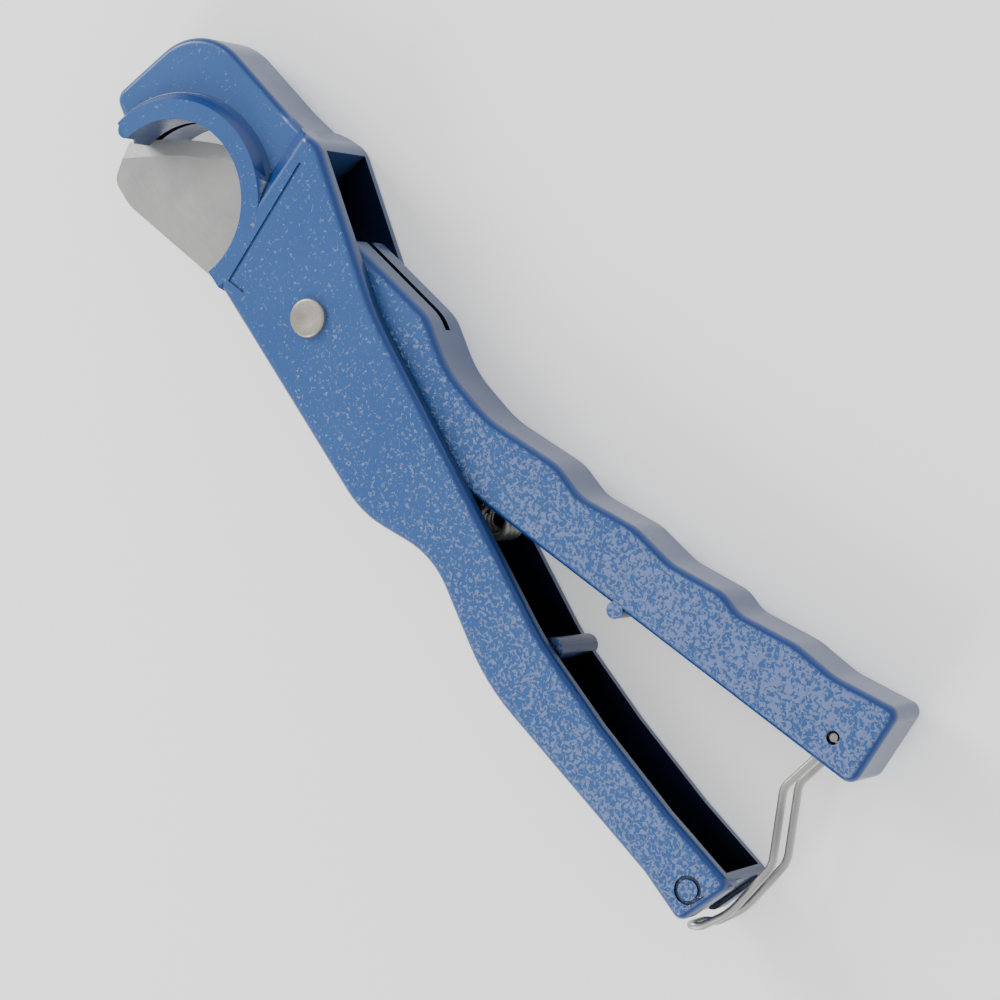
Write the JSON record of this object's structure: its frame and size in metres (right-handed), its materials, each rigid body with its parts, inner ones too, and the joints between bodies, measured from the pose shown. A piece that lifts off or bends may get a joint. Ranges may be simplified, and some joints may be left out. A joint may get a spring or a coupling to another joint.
{
  "type": "plastic pipe cutter",
  "caption": "One-hand plastic pipe cutter: hook jaw, pivoting handle with blade, handle spring and wire bail that latches the handles.",
  "frame": {"origin": "on the pivot axis, in the plane of the far side face that the tool rests on", "axes": "+Z through the thickness towards the rivet head, +X from the pivot along the fixed handle, +Y towards the moving handle"},
  "size_m": [0.2192, 0.0861, 0.0236],
  "materials": {
    "blue_paint": "hammertone gloss enamel on cast aluminium",
    "blade_steel": "ground satin",
    "rivet_steel": "plated, dull",
    "wire_steel": "drawn wire, zinc plated"
  },
  "bodies": {
    "body": {"body": "blue_paint", "pivot_rivet": "rivet_steel", "rivet_washer": "rivet_steel"},
    "moving_handle": {"moving_handle": "blue_paint", "blade": "blade_steel", "blade_pins": "rivet_steel"},
    "bail": {"bail": "wire_steel"},
    "spring_lower": {"spring_lower_arm": "wire_steel"},
    "spring_upper": {"spring_upper_arm": "wire_steel"}
  },
  "joints": [
    {"name": "handle_pivot", "type": "hinge", "parent": "body", "child": "moving_handle", "pos_m": [0, 0, 0.0112], "axis": [0, 0, 1], "range_deg": [0, 48]},
    {"name": "bail_pivot", "type": "hinge", "parent": "moving_handle", "child": "bail", "pos_m": [0.1337, 0.0458, 0.0112], "axis": [0, 0, 1], "range_deg": [0, 27]},
    {"name": "spring_seat", "type": "hinge", "parent": "body", "child": "spring_lower", "pos_m": [0.022, -0.00975, 0.0112], "axis": [0, 0, 1], "range_deg": [0, 37]},
    {"name": "spring_coil", "type": "hinge", "parent": "spring_lower", "child": "spring_upper", "pos_m": [0.0563, 0.0076, 0.0112], "axis": [0, 0, 1], "range_deg": [-25, 0]}
  ],
  "couplings": [
    {"joint": "bail_pivot", "follows": "handle_pivot", "ratio": 0.55},
    {"joint": "spring_seat", "follows": "handle_pivot", "ratio": 0.76},
    {"joint": "spring_coil", "follows": "handle_pivot", "ratio": -0.504}
  ]
}
